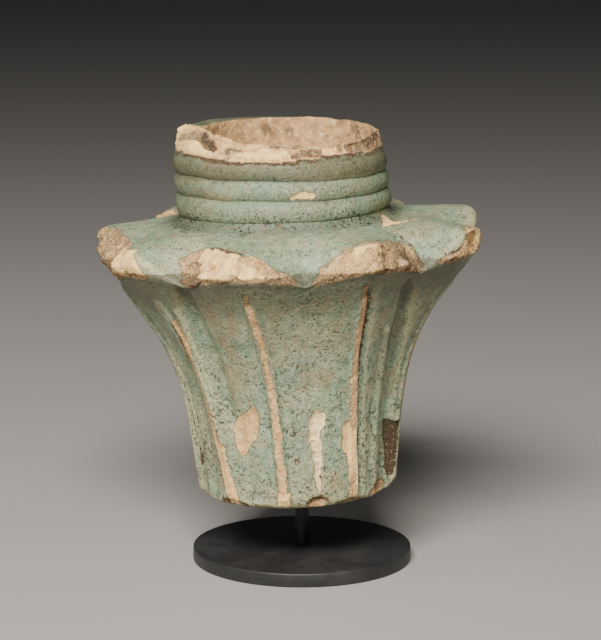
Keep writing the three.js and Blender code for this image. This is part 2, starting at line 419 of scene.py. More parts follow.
skin_points = np.array([*hole_points, *outer_points, *top_points, *socket_points])
rows, columns = skin_points.shape[:2]
points = skin_points.reshape(-1, 3)
socket_from = len(hole_points) + len(outer_points) + len(top_points)
in_socket = np.repeat(np.arange(rows) >= socket_from, columns)
under_foot = np.repeat(np.arange(rows) < len(hole_points) + len(underside_rows), columns)


# The losses that show in the outline: eggs knocked out of the lip and the foot. Each has its
# edge and angle, how far out and up from the edge its middle lies, and its depth, width and
# height, all as shares of the sizes below.
bite_depth = 5
bite_width = 9
bite_height = 5
lip_edge = (lip_radius, bell_height + lip_height / 2)
foot_edge = (foot_radius, 0)
bites = [
    (lip_edge, -92, 1.5, 2, 2.6, 1.5, 2.8),
    (lip_edge, -62, 1.3, 1.5, 2.6, 1.35, 3),
    (lip_edge, -25, 1.2, 1.8, 2.8, 1.45, 3.2),
    (lip_edge, -8, 1.1, 1.2, 2.4, 1.2, 2.6),
    (lip_edge, 18, 1.1, 1.4, 2.4, 1.1, 2.6),
    (lip_edge, 36, 1.2, 1.8, 2.8, 1.5, 3.2),
    (lip_edge, 56, 0.9, -0.9, 1.2, 0.7, 0.5),
    (lip_edge, 68, 1.5, 0, 1.6, 1, 1.2),
    (foot_edge, 12, 0.2, -0.2, 0.8, 0.38, 0.92),
    (foot_edge, 57, 0.3, -0.2, 0.8, 0.66, 0.8),
]


def rough(points, size, octaves=3):
    """Fractal noise at each point, from about -1 to 1, with lumps of the size in millimetres."""
    return np.array([noise.fractal(Vector(point) / size, 0.8, 2.1, octaves) for point in points])


def facets(points, size):
    """Flat facets of about the size in millimetres, tipped at random like those of a break."""
    heights = []
    for point in points:
        spot = Vector(point) / size
        centre = noise.voronoi(spot)[1][0]
        heights.append((spot - centre).dot(noise.noise_vector(centre * 9.1)) * size)
    return np.array(heights)


# A set seed makes the facets tip the same way in every run.
noise.seed_set(7)
lump_size = 9
crumb_size = 3.2
grit_size = 1.7
lumps = rough(points, lump_size)
crumbs = rough(points + 40, crumb_size)
grit = rough(points - 60, grit_size, 2)

# How deep each point lies inside a loss in millimetres, and below 0 how far outside one. It is
# measured up to this margin.
margin = 6.0
bare = np.full(len(points), -margin)
for (edge_radius, edge_height), angle, out, up, deep, wide, tall in bites:
    turn = math.radians(angle)
    outward = np.array([math.sin(turn), -math.cos(turn), 0])
    sideways = np.array([math.cos(turn), math.sin(turn), 0])
    along_out = points @ outward - (edge_radius + bite_depth * out)
    along_side = points @ sideways
    along_up = points[:, 2] - (edge_height + bite_height * up)
    half = np.array([bite_depth * deep, bite_width * wide, bite_height * tall])
    section = (along_side / half[1]) ** 2 + (along_up / half[2]) ** 2
    face = -half[0] * np.sqrt(np.clip(1 - section, 0, 1)) + 0.5 * lumps + 0.25 * crumbs
    cut = np.where((section < 1) & ~in_socket, np.maximum(along_out - face, 0), 0)
    size = np.sqrt((along_out / half[0]) ** 2 + section)
    bare = np.maximum(bare, np.where(in_socket, -margin, (1 - size) * half.min()))
    points -= cut[:, None] * outward

# Each point's place on the skin: its angle in degrees, its radius and its height.
angles = np.degrees(np.arctan2(points[:, 0], -points[:, 1]))
reaches = np.hypot(points[:, 0], points[:, 1])
levels = points[:, 2]


def degrees_from(centre):
    """How far round from an angle each point lies, from -180 to 180."""
    return (angles - centre + 180) % 360 - 180


def stroke(route, widths):
    """How far inside a stroke each point lies, in millimetres. Its route is angles and heights,
    with a radius where it lies on the shoulder, and a half width at each point of it."""
    inside = np.full(len(points), -margin)
    middle = (route[0][0] + route[-1][0]) / 2
    from_middle = degrees_from(middle)
    spots = []
    for spot in route:
        off = np.radians(from_middle - (spot[0] - middle)) * reaches
        drop = levels - spot[1]
        reach = reaches - spot[2] if len(spot) > 2 else 0 * reaches
        spots.append(np.stack([off, drop, reach], axis=1))
    for at in range(max(len(spots) - 1, 1)):
        start = spots[at]
        end = spots[min(at + 1, len(spots) - 1)]
        run = start - end
        share = np.clip((start * run).sum(1) / np.maximum((run**2).sum(1), 1e-9), 0, 1)
        gap = np.linalg.norm(start - run * share[:, None], axis=1)
        width = lerp(widths[at], widths[min(at + 1, len(widths) - 1)], share)
        inside = np.maximum(inside, width - gap)
    return np.where(in_socket, -margin, inside)


def patch(outline, radius=60, least_reach=0):
    """How far inside an outline of angles and heights each point lies, in millimetres. The radius
    turns its angles into lengths, and points nearer to the axis than least_reach lie outside."""
    outline = np.array(outline, float)
    across = math.radians(1) * radius
    here = np.stack([angles * across, levels], axis=1)
    inside = np.zeros(len(points), bool)
    nearest = np.full(len(points), margin)
    for start, end in zip(outline, np.roll(outline, -1, axis=0)):
        start = start * [across, 1]
        end = end * [across, 1]
        run = end - start
        off = here - start
        share = np.clip(off @ run / (run @ run), 0, 1)
        nearest = np.minimum(nearest, np.linalg.norm(off - share[:, None] * run, axis=1))
        crosses = (start[1] > here[:, 1]) != (end[1] > here[:, 1])
        meets = start[0] + (here[:, 1] - start[1]) * run[0] / (run[1] if run[1] else 1e-9)
        inside ^= crosses & (here[:, 0] < meets)
    depth_in = np.where(inside, nearest, -nearest)
    return np.where(in_socket, -margin, np.minimum(depth_in, reaches - least_reach))


# Where the glaze has come off: each loss with its depth in millimetres and how dark the body
# under it has turned: below 0 is white, 0 is cream, 1 is brown and 2 is nearly black. The dark
# lines of cracks and painted shadow further down are added to them the same way.
losses = [
    # The broken faces of the lip, from the left tip to the right.
    (0, 0.76, patch([(-104, 80), (-104, 91.5), (-92, 92.6), (-86, 91.2), (-79, 89.6), (-72, 88),
        (-72, 83), (-74, 79)], 60, 53)),
    (0, 0.18, patch([(-77, 79), (-76, 88), (-68, 91), (-57.4, 91.3), (-51, 91), (-49, 88.9),
        (-47.5, 86.6), (-45.4, 83), (-46.7, 81.8), (-54, 82.2), (-60, 80.6), (-68, 79)], 60, 54)),
    (0, 0.7, patch([(-38.6, 88.2), (-37, 89.5), (-34, 90.5), (-31, 91.2), (-31.2, 87.8), (-28, 85),
        (-25, 82), (-31, 79.4), (-34, 80), (-35.8, 82.4)], 60, 48)),
    (0, 0.1, patch([(-31.3, 87.6), (-31, 91.2), (-26.8, 91.8), (-21.5, 91.8), (-15.4, 91.4),
        (-12.4, 90.7), (-6.7, 88.3), (-5.8, 85), (-5, 82.4), (-15.9, 82.8), (-25.2, 81.6),
        (-28.2, 84.8)], 60, 48)),
    (0, 0.55, patch([(-7, 82), (-6.7, 88.1), (-3.1, 86.1), (1.4, 83.9), (3.7, 81.1), (2.7, 80.4),
        (-3.2, 81.6)], 60, 55)),
    (0, 0.5, patch([(7.9, 81), (11.6, 85.5), (14.3, 87.2), (19.4, 90.9), (20.5, 83), (14.6, 81.4),
        (8.8, 79.8)], 60, 55)),
    (0, 0.45, patch([(18, 90), (22, 91.6), (25, 92.3), (30.4, 92.1), (30, 83), (18, 82.4)], 60, 52)),
    (0, 0.74, patch([(28, 92.3), (30.4, 92.1), (40.5, 90.6), (48, 89), (49.3, 87.5), (49.8, 84.3),
        (48.7, 81.2), (47.7, 80), (35.9, 81.9), (27, 82.6)], 60, 50)),
    (0.2, 0.48, patch([(52.4, 82), (54.4, 84.4), (59, 85.5), (61, 88), (64.6, 91.4), (69.6, 91.9),
        (77, 91.2), (84, 89.6), (86, 84.4), (78, 83.6), (66, 83.6), (62.4, 83), (57, 82)], 62, 62.6)),
    # Spalls on the body and the white streak.
    (0.6, 0.33, patch([(-34.3, 28.5), (-31.8, 31.8), (-24.6, 34), (-20, 36.6), (-17.5, 34), (-18, 29),
        (-20.5, 25), (-25.5, 22.5), (-28, 18.6), (-31.2, 18.2), (-34, 23)], 36)),
    (0.9, -0.5, patch([(8.2, 30.4), (9.6, 32.6), (12.2, 34.4), (15.4, 34), (17, 32), (16.4, 29),
        (14.2, 27.4), (13.7, 24.4), (15, 22), (14.8, 18.6), (15, 14), (13.2, 11.6), (14.6, 9.5),
        (13.8, 6.4), (12.4, 5.6), (11.6, 7.4), (9.8, 11.4), (11, 14.8), (9.4, 18), (9.6, 21),
        (8, 24)], 35)),
    (0.45, 0.18, patch([(26, 27.6), (27.6, 28.2), (29.4, 29.4), (30.6, 27.4), (36, 27), (36, 2.6),
        (31.2, 2.8), (30.6, 9), (29.4, 15.4), (28.6, 18.4), (26.4, 20), (26.8, 24.4)], 36)),
    (1.1, 2, patch([(66, 24.2), (69, 25), (72, 23.6), (76, 24), (77, 14), (74, 5.4), (70, 4.4),
        (68.6, 8), (69, 13), (67.4, 19)], 36)),
    # Chips along the foot.
    (0.4, 0.02, patch([(-10.6, 6.1), (-3.8, 6.2), (-3.6, 1.6), (-10.8, 1.4)], 35)),
    (0.9, 1.15, stroke([(6.5, 1.4), (9, 2.6), (13.8, 3.4), (17, 1.6)], [0.8, 1, 1.1, 0.8])),
    (0.6, 0.75, patch([(46, 1.6), (48.8, 4.5), (56.6, 6.6), (64.7, 5), (70, 2.2), (62, 1.6),
        (50, 0.8)], 34)),
    (0.4, 1.15, stroke([(-48, 1.2), (-40, 2), (-30, 0.8)], [0.9, 1.2, 0.5])),
    (0.2, 0.7, stroke([(-24, 0.8), (-15, 0.6)], [0.6, 0.5])),
    (0.4, 0.9, stroke([(24, 0.6), (33, 1.3), (41, 0.7)], [0.4, 0.8, 0.5])),
    # The chips on the neck's rings, and the splinter at its foot with its thin line.
    (0.4, 0.1, stroke([(4.2, 105.6), (9.5, 106.6), (15.5, 106.4)], [0.7, 1.2, 0.9])),
    (0.3, 0.8, stroke([(-4.8, 97), (-2.6, 97)], [0.3, 0.4])),
    (-0.5, -0.2, stroke([(64.5, 95.4, 37), (60, 94.8, 39.6), (50, 94, 43)], [1.2, 1.6, 0.7])),
    (-0.2, 0, stroke([(50, 94, 43), (60, 94.1, 44), (71.6, 93.9, 46.5)], [0.7, 0.9, 0.3])),
    # The worn flank of the lobe behind on the left.
    (0.2, 0.4, stroke([(-128, 92.4, 56), (-126, 92.6, 51), (-120, 93.2, 46)], [4, 3.4, 1.6])),
    # Behind, where only the back views look: a few losses in keeping.
    (0.8, 0.5, stroke([(118, 87, 66), (112, 86, 67), (106, 88, 66.5)], [2.4, 3, 1.6])),
    (0.9, 0.35, stroke([(172, 86, 63), (181, 85, 65), (188, 88, 64)], [2.2, 3.4, 2])),
    (0.7, 0.6, stroke([(214, 86, 64), (220, 86, 64)], [2.6, 2.2])),
    (0.5, 0.4, stroke([(150, 36), (151, 30)], [2.4, 3])),
    (0.5, 0.2, stroke([(232, 22), (231, 12)], [1.5, 1.9])),
    (0.6, 0.5, stroke([(196, 3), (205, 1.5)], [2.4, 1.8])),
    (0.5, 0.6, stroke([(130, 2), (139, 1)], [1.8, 1.5])),
]

# The ribs' tops, worn through to the body: frond, lowest and highest place, half width, tone.
worn_ribs = [
    (1, 0.6, 21, 2.1, 0.3),
    (2, 3, 78, 1.3, 0.42),
    (3, 3, 79, 1.5, 0.5),
    (4, 30, 70, 0.5, 0.6),
    (5, 8, 60, 0.8, 0.5),
    (6, 12, 74, 1.0, 0.45),
    (7, 5, 52, 0.9, 0.5),
    (8, 20, 70, 0.8, 0.5),
]
core_radius = 20
rises = np.clip(levels / bell_height, 0, 1)
for frond, low, high, half, darkness in worn_ribs:
    off = np.abs(np.radians(degrees_from(along(rib_lines[frond], rises)))) * reaches
    ends = np.minimum(levels - low, high - levels)
    wide = half * lerp(1.15, 0.75, rises) + 0.5 * crumbs + 0.3 * lumps
    worn_inside = np.minimum(wide - off, ends)
    worn_inside = np.where(in_socket | (reaches < core_radius), -margin, worn_inside)
    losses.append((0.25, darkness, worn_inside))

# The first frond's rib is worn on its left side only, above its foot.
worn_side = stroke(
    [(-46.3, 66), (-46.5, 60), (-48, 51), (-48.7, 41), (-47.3, 33), (-44.8, 25), (-42.5, 19)],
    [0.8, 1.2, 1, 1.2, 1.3, 1.3, 1.2],
)
losses.append((0.25, 0.45, worn_side))

# Dark lines, part cracks and part painted shadow: the lines along the top and down the left edge
# of the second frond's face, the left tip's crack, painted shadow lines beside the ribs where
# they stand proud, and painted shadow along the edges of the broken faces on the right.
cracks_and_painted_shadow_lines = [
    ([(-29, 91.4, 50), (-23, 91.4, 52.6), (-17, 91.3, 57.8), (-11.5, 90.9, 60.8)],
        [0.5, 0.8, 0.7, 0.4]),
    ([(-31.4, 90.6, 50.4), (-31.2, 87.8, 53), (-28, 85, 58), (-25, 82.2, 62)], [0.4, 0.6, 0.6, 0.5]),
    ([(-79, 83.8, 60.4), (-62, 85.2, 62.8), (-53.5, 84.5, 65), (-47, 83, 64)], [0.5, 0.8, 0.5, 0.3]),
    ([(-47.9, 66), (-48.1, 60), (-49.8, 51), (-50.6, 41), (-49.3, 33), (-46.9, 25)],
        [0.2, 0.35, 0.3, 0.35, 0.4, 0.4]),
    ([(-68.5, 40), (-68, 35), (-66.4, 23), (-65, 16), (-66, 7)], [0.15, 0.2, 0.25, 0.2, 0.1]),
    ([(27.4, 75), (29.6, 65), (31.4, 56), (32.6, 50), (34.4, 40), (35.6, 28), (36.6, 16), (37, 4)],
        [0.6, 0.9, 1, 0.8, 0.4, 0.4, 0.5, 0.4]),
    ([(45, 92.7, 46.7), (48.7, 91.8, 48.3), (49.2, 90.3, 51), (49.8, 88, 53.7), (50, 84.7, 56.5),
        (49.2, 81.7, 59.3)], [0.2, 0.3, 0.4, 0.6, 0.7, 0.7]),
    ([(52.6, 82, 62.6), (54.6, 84.6, 63), (59, 85.6, 66), (61, 88, 66.6)], [0.4, 0.5, 0.5, 0.3]),
]
# These dark lines go in with the losses, as cracks and as painted shadow.
for route, widths in cracks_and_painted_shadow_lines:
    losses.append((0.5, 1.5, stroke(route, widths)))

# The neck's rim has lost its glaze above the top band, apart from the outer edge behind. The
# glaze ends there at these heights round the front, in a thin dark ragged line.
behind = np.maximum(smooth(-angles + 4 * crumbs, 92, 104), smooth(angles + 8 * lumps, 156, 170))
glaze_end = np.interp(
    angles,
    [-69, -53, -38, -22, -5, 3, 21, 31, 42, 72],
    [118.7, 118.2, 117.8, 117.2, 117.1, 117.7, 118.6, 119.2, 119.3, 118.7],
)
glaze_end += 6 * smooth(angles, 84, 130)
glaze_end = np.maximum(glaze_end, 116 + 12 * behind)
rim_bare = levels + points[:, 0] * math.tan(math.radians(band_tip)) - glaze_end
bare_inside = np.minimum(rim_bare + 0.5 * crumbs, margin)
losses.append((0, 0.36, np.where(in_socket, margin, bare_inside)))
line_width = 0.6 * smooth(lumps + crumbs, -0.9, 0.2)
break_line = line_width - np.abs(rim_bare + 0.35 + 0.5 * crumbs)
losses.append((0.45, 1.75, np.where(in_socket | (behind > 0.5), -margin, break_line)))

tone = np.full(len(points), 0.4)
sunk = np.zeros(len(points))
for depth, darkness, inside in losses:
    tone = np.where(inside > bare, darkness, tone)
    bare = np.maximum(bare, inside)
    sunk = np.maximum(sunk, depth * smooth(inside, -0.3, 0.7))
bare = np.where(in_socket | under_foot, margin, bare)
mouth_row = slice((socket_from - 1) * columns, socket_from * columns)
bare[mouth_row] = np.maximum(bare[mouth_row], 0.4)
tone = np.where(in_socket, 0.62, np.where(under_foot, 0.6, tone))

# Where the bare body is paler or browner than the rest of its loss: its tone there.
tints = [
    # The rim: a pale corner with a brown scoop inside it, a pale flake, then brown facets.
    (0.16, stroke([(-82, 122, 35.5), (-90, 125.5, 34), (-98, 126.8, 29)], [3.6, 3.4, 2.6])),
    (0.95, stroke([(-74, 125, 34), (-66, 125.4, 31), (-52, 124.4, 31.4), (-45, 123.2, 32.6)],
        [2, 3, 2.6, 1.6])),
    (1.35, stroke([(-66, 126, 28), (-52, 124.8, 30), (-45, 123.7, 31.6)], [1.2, 1.4, 0.9])),
    (0.02, stroke([(-64, 121.4, 35.6), (-52, 121.6, 35), (-47, 121.6, 34.6)], [1.8, 2.2, 1.4])),
    (1.1, stroke([(-34, 122.4, 31.6), (-30, 119.6, 34.6)], [1, 1])),
    (0.02, stroke([(-24, 120.4, 32.4), (-8, 119.9, 32.4), (2, 119.6, 32.6)], [2, 2.2, 1.8])),
    (1.0, stroke([(9, 119.8, 32.8), (14, 120.4, 32), (22, 120, 32.8)], [1.8, 2.2, 1.8])),
    (0.06, stroke([(27, 120, 33), (34, 120.2, 32.8)], [1.5, 1.5])),
    (1.3, stroke([(-34, 122.6, 30.8), (-27, 122.2, 30.2)], [0.7, 0.8])),
    (0.95, stroke([(-6, 121.8, 28.8), (12, 121.9, 28.6), (24, 121.9, 29)], [0.8, 1, 0.8])),
    (0.9, stroke([(38, 121.6, 31), (37, 120.4, 33)], [1.2, 1.2])),
    (0.95, stroke([(44, 120.6, 32.6), (58, 120.6, 32.8), (74, 120, 33.6)], [1.9, 2.2, 2.2])),
    (1.15, stroke([(56, 122, 31.6), (70, 121.8, 32), (84, 121.8, 32)], [1.2, 1.4, 1.4])),
    (0.75, stroke([(100, 122, 32.6), (130, 124, 31.8), (150, 125, 30.6)], [1.8, 1.6, 1.4])),
    # The lip's broken faces: pale lumps low on the second frond, brown pits in the next.
    (-0.1, stroke([(-32, 80, 62), (-29, 80.4, 63)], [1.3, 1.1])),
    (1.05, stroke([(38, 87, 60), (45, 85, 57), (48, 83, 57)], [2.2, 2.8, 1.6])),
    (0, stroke([(21, 90.6, 62), (27, 91.4, 62), (30, 90.6, 62)], [1, 1.4, 1])),
    (0.25, stroke([(29, 84.5, 64), (31, 86, 64)], [0.9, 0.8])),
    (0.05, stroke([(66, 89, 65), (72, 87, 67)], [1.4, 1.2])),
    (0.6, stroke([(-24, 82.6, 63), (-14, 83.4, 65), (-8, 83, 65)], [0.7, 0.5, 0.6])),
    (-0.1, stroke([(-70, 81, 63), (-64, 80.4, 63)], [0.9, 0.9])),
]
for shade, inside in tints:
    tone = lerp(tone, shade, np.where(in_socket, 0, smooth(inside, -0.5, 0.4)))

# Brown smudges on the socket's wall: angle, height, radius and size.
smudges = [
    (-168, 122.3, 28, 1.6),
    (-177, 121.6, 28.4, 1.1),
    (176, 121.8, 28.7, 1.7),
    (125, 122.5, 31, 2),
    (122, 121, 31.2, 1.4),
    (150, 119, 29.6, 1.2),
    (-150, 120, 27, 1.3),
]
for angle, level, reach, size in smudges:
    off = np.radians(degrees_from(angle)) * reach
    inside = size - np.hypot(off, levels - level)
    tone += np.where(in_socket, 0.3 * smooth(inside, -0.8, 0.8), 0)

# How brown the glaze is worn or stained, and below 0 how blue-green it has stayed.
stains = [
    (0.75, stroke([(-100, 114.5), (-40, 114), (0, 114.4), (40, 113.6), (110, 113)],
        [3.2, 3.2, 3, 3.4, 3.2])),
    (-0.7, stroke([(-16, 112.4), (4, 112.8), (22, 112)], [1.2, 1.6, 1.2])),
    (1, patch([(-52, 105), (-50, 107.6), (-38, 108.2), (-28, 107), (-27, 105.2), (-38, 104.6)], 36)),
    (-1, stroke([(-10, 104.7), (6, 104.7)], [0.9, 0.9])),
    (-0.4, stroke([(-30, 99), (0, 98), (40, 99)], [2, 2.4, 2])),
    (-0.6, stroke([(20, 94.6, 40), (45, 94.6, 40)], [1.8, 1.8])),
    (-0.5, stroke([(-75, 92, 58), (-58, 92.6, 54)], [3, 3])),
    (0.9, stroke([(-34, 92, 58), (-24, 92.4, 58), (-12, 92, 58)], [2, 2.4, 1.6])),
    (0.7, stroke([(-52, 93.2, 47), (-46, 93.2, 47)], [1.6, 1.6])),
    (0.1, stroke([(58, 92.8, 54), (70, 92.4, 58)], [4, 5])),
    (0.75, patch([(-34, 79), (-20, 79), (-17, 64), (-25, 52), (-33, 60)], 46)),
    (0.9, patch([(-36, 50), (-20, 52), (-15, 44), (-20, 37), (-33, 36)], 38)),
    (0.4, patch([(-6, 78), (22, 78), (21, 62), (6, 57), (-8, 66)], 50)),
    (0.5, patch([(0, 52), (20, 54), (24, 44), (8, 40)], 40)),
    (0.8, patch([(-2, 27), (7, 28), (8, 12), (-3, 11)], 36)),
    (0.85, patch([(17, 15), (28, 14), (29, 3), (17, 3)], 35)),
    (0.7, patch([(-55, 26), (-45, 26), (-43, 6), (-54, 6)], 35)),
    (0.3, patch([(34, 78), (46, 78), (48, 60), (34, 58)], 46)),
    (-0.35, stroke([(-43, 66), (-45, 52), (-43, 34), (-41, 23)], [1.2, 1.5, 1.3, 0.8])),
    (0.4, stroke([(52, 72), (62, 52), (70, 36)], [2, 2, 2])),
    (-0.3, stroke([(9, 56), (13, 44), (14, 38)], [3, 3, 2])),
    (-0.5, stroke([(-20, 60), (-16, 46), (-13, 36)], [2, 2.4, 1.6])),
    (0.5, stroke([(150, 60), (158, 40)], [6, 5])),
    (0.6, stroke([(205, 70), (212, 50)], [6, 6])),
]
on_neck = smooth(levels, 93, 97) * smooth(-reaches, -46, -42)
stain = -0.8 * on_neck * smooth(-levels, -112, -109)
for brownness, inside in stains:
    stain += brownness * smooth(inside + 0.8 * lumps, -1.4, 1.2)

# How finely the glaze is crazed: most low on the bell and at the neck's foot.
crazed = 0.35 + 0.5 * smooth(levels, 62, 30)
crazed += 0.8 * smooth(np.abs(levels - 96), 5, 2) * smooth(reaches, 44, 40)
crazed -= 0.35 * smooth(levels, 85, 91) * smooth(reaches, 42, 48)
crazed += 0.45 * smooth(stroke([(8, 74), (14, 66), (18, 60)], [4, 5, 4]), -2, 2)
crazed = np.clip(crazed, 0, 1.2)

# What is pressed in or stands proud, in millimetres: the rim's scoop, flake and facets, the
# valleys beside the ribs, the ridges between them and the lobe behind on the left.
reliefs = [
    (-3.2, stroke([(-66, 125, 33.5), (-62, 125.4, 30), (-50, 124.4, 31), (-44, 123.4, 32)],
        [1.5, 2.2, 2, 1.2])),
    (0.8, stroke([(-61, 121, 35.8), (-50, 121.4, 35)], [1.6, 1.6])),
    (-0.9, stroke([(8, 120.4, 32), (20, 120.2, 32.4)], [1.8, 1.8])),
    (-0.9, stroke([(38, 121, 32), (37, 119.6, 33.4)], [1.2, 1.4])),
    (-0.9, stroke([(46, 120, 33), (58, 120, 33.2), (72, 119.4, 33.8)], [1.6, 1.8, 1.6])),
    (-2.2, stroke([(-36, 77), (-37, 71), (-38.3, 61), (-38.5, 53), (-37.9, 46), (-36.7, 39), (-34, 30)],
        [2, 2.6, 2.8, 2.8, 2.6, 2.2, 0.8])),
    (1.0, stroke([(-43, 70), (-43, 66), (-44.8, 59), (-45, 51), (-44.3, 42), (-43.2, 34), (-41.8, 27),
        (-41, 23)], [0.8, 1.2, 1.4, 1.5, 1.5, 1.4, 1.2, 0.6])),
    (-1.0, stroke([(27.5, 76), (29.5, 66), (32.2, 56), (33.4, 50), (35.3, 40), (36.8, 28), (38, 16),
        (38.4, 4)], [1.2, 1.4, 1.4, 1.2, 1, 0.8, 0.8, 0.8])),
    (1.3, stroke([(-148, 92.5, 56), (-134, 92.5, 56), (-124, 92, 56)], [4, 4, 3])),
    (-2.4, stroke([(44, 76), (49, 69), (57, 58), (61.5, 48), (64, 39), (64.5, 26), (65, 14), (64.5, 3)],
        [1.8, 2.4, 2.8, 3, 3, 2.8, 2.6, 2])),
    (1.3, stroke([(45, 60), (50.5, 50), (52.5, 40), (52, 28), (52, 16), (50.5, 3)],
        [1.2, 2, 2.4, 2.4, 2.4, 2])),
    (-1.2, stroke([(-68.5, 40), (-68, 35), (-66.4, 23), (-65, 16), (-66, 7), (-66, 1)],
        [0.8, 1.1, 1.3, 1.3, 1.1, 0.8])),
    (0.5, stroke([(-70, 60), (-71, 35), (-70, 23), (-69, 10)], [1, 1.2, 1.4, 1.2])),
]
relief = np.zeros(len(points))
for height, inside in reliefs:
    relief += height * smooth(inside, -1.6, 1.6)

# Fine ripples cross the white streak.
ripple_height = 0.3
streak = smooth(stroke([(12, 33), (12, 6)], [3, 2.6]), 0, 1) * smooth(bare, 0, 0.5)
ripples = ripple_height * streak * np.sin(levels * 3.2 + 4 * lumps)

# Painted shade under the lip, in the neck's foot and in the valley on the right, and a darker
# tone on the top band, on the neck and on the left side.
# Painted shade under the lip's overhang.
painted_shade_and_grime = 0.95 * smooth(levels, 62, 79) * smooth(reaches - levels * 0.76, 6, 2) * (levels < 84)
painted_shade_and_grime += 0.4 * smooth(levels, 110.5, 112) * smooth(-rim_bare, -0.5, 0.5)
# Painted shade in the crease at the neck's foot.
painted_shade_and_grime += 0.3 * smooth(-np.abs(levels - 95.5), -3, -0.5) * smooth(-reaches, -43, -39)
painted_shade_and_grime += 0.42 * on_neck * smooth(rim_bare, 0.5, -0.5)
# Painted shade in the deep valley on the right, strongest high up.
valley = stroke(
    [(45, 77), (51, 67), (57.5, 56), (62, 45), (66, 32), (67.5, 16), (66.5, 2)],
    [1.4, 2, 2.4, 3, 4.4, 5.4, 5.4],
)
painted_shade_and_grime += 0.45 * smooth(valley, -1.6, 1) * lerp(0.1, 1, smooth(levels, 25, 60))
painted_shade_and_grime += 0.2 * smooth(-angles, 30, 60) * (levels < 112)
painted_shade_and_grime = np.where(in_socket, 0, np.clip(painted_shade_and_grime, 0, 1))

# How gritty the bare body is: smoothed in the socket, rough where the lip and the rim broke,
# and rougher where the break is old and brown.
at_lip = smooth(levels, 74, 78) * smooth(reaches, 42, 48)
old = smooth(tone, 0.1, 0.5)
gritty = np.where(in_socket, 0.15, lerp(0.5, 0.75, old) + 0.2 * at_lip * old)

# The hand-made unevenness, the rough broken faces and the sunk spalls move the skin itself.
grid = points.reshape(rows, columns, 3)
down_rows = np.gradient(grid, axis=0)
wrapped = np.concatenate([grid[:, -2:-1], grid, grid[:, 1:2]], axis=1)
along_rows = (wrapped[:, 2:] - wrapped[:, :-2]) / 2
normals = np.cross(along_rows, down_rows)
for _ in range(2):
    normals[1:-1] = (normals[:-2] + normals[1:-1] * 2 + normals[2:]) / 4
    normals = (np.roll(normals, 1, axis=1) + normals * 2 + np.roll(normals, -1, axis=1)) / 4
normals /= np.maximum(np.linalg.norm(normals, axis=2, keepdims=True), 1e-6)
normals = normals.reshape(-1, 3)
swell_size = 26
facet_size = 6
swells = rough(points + 90, swell_size, 2)
chips = facets(points + 20, facet_size) + 0.5 * facets(points - 70, facet_size / 2)
chips = np.clip(chips, -2, 1.5)
broken = smooth(bare, -0.2, 0.8)
outside = ~(in_socket | under_foot)
move = 0.25 * swells + 0.05 * crumbs
on_rim = smooth(rim_bare, 0, 1) * outside
coarse = np.where(at_lip > 0.5, lerp(0.5, 1.0, old), 0.45) * (1 - 0.5 * on_rim)
move = move + broken * coarse * (0.2 * lumps + 0.3 * crumbs + 0.4 * grit)
rim_chips = 0.4 * on_rim * (1 - 0.75 * smooth(np.abs(angles), 95, 125))
move = move + broken * (0.5 * at_lip + rim_chips) * chips
move = move - sunk + relief + ripples
move = np.where(outside, move, np.where(under_foot, 0.15 * crumbs, 0.4 * lumps + 0.05 * crumbs))
hole_end = len(hole_points) * columns
move[:hole_end] = 0

# The neck's bands waver up and down, and the mouth's edge dips at the front left.
wobble_size = 15
wobble_height = 0.45
dip_depth = 1.6
wobble = wobble_height * rough(points * [1, 1, 0.25] + 30, wobble_size, 2)
dip = stroke([(-48, 123.6, 33), (-32, 122.8, 32), (-16, 122.4, 30.6)], [2, 3, 1.6])
points = points + normals * move[:, None]
points[:, 2] += wobble * smooth(levels, 94, 99) * outside - dip_depth * smooth(dip, -1.5, 1.5)

# How hollow the skin is at each point: how far the skin around it stands proud of it.
grid = points.reshape(rows, columns, 3)
around = grid.copy()
for _ in range(6):
    around[1:-1] = (around[:-2] + around[1:-1] * 2 + around[2:]) / 4
    ring = around[:, :-1]
    ring = (np.roll(ring, 1, axis=1) + ring * 2 + np.roll(ring, -1, axis=1)) / 4
    around[:, :-1] = ring
    around[:, -1] = ring[:, 0]
hollow = ((around - grid).reshape(-1, 3) * normals).sum(1)

bpy.ops.object.select_all(action="DESELECT")
bpy.ops.mesh.primitive_grid_add(x_subdivisions=columns - 1, y_subdivisions=rows - 1, size=0.1)
capital = bpy.context.object
capital.name = "column_capital"
lean_turn = math.radians(lean)
x = points[:, 0] * math.cos(lean_turn) - points[:, 2] * math.sin(lean_turn) + foot_shift
z = points[:, 0] * math.sin(lean_turn) + points[:, 2] * math.cos(lean_turn) + stand_height
world = np.stack([x, points[:, 1], z], axis=1) / 1000
capital.data.vertices.foreach_set("co", world.ravel())
painted = {
    "bare": bare,
    "tone": tone,
    "stain": stain,
    "crazed": crazed,
    "painted_shade_and_grime": painted_shade_and_grime,
    "gritty": gritty,
    "hollow": hollow,
}
for name, values in painted.items():
    attribute = capital.data.attributes.new(name, "FLOAT", "POINT")
    attribute.data.foreach_set("value", values.astype(np.float32))
capital.data.update()
bpy.ops.object.mode_set(mode="EDIT")
bpy.ops.mesh.select_all(action="SELECT")
bpy.ops.mesh.remove_doubles(threshold=0.00002)
bpy.ops.mesh.normals_make_consistent(inside=False)
bpy.ops.object.mode_set(mode="OBJECT")
bpy.ops.object.shade_smooth_by_angle(angle=math.radians(60))


def srgb(code):
    """An sRGB hex colour as linear red, green, blue and alpha."""
    linear = []
    for at in (1, 3, 5):
        part = int(code[at : at + 2], 16) / 255
        linear.append(part / 12.92 if part <= 0.04045 else ((part + 0.055) / 1.055) ** 2.4)
    return (*linear, 1)


def new_material(name):
    material = bpy.data.materials.new(name)
    material.use_nodes = True
    return material


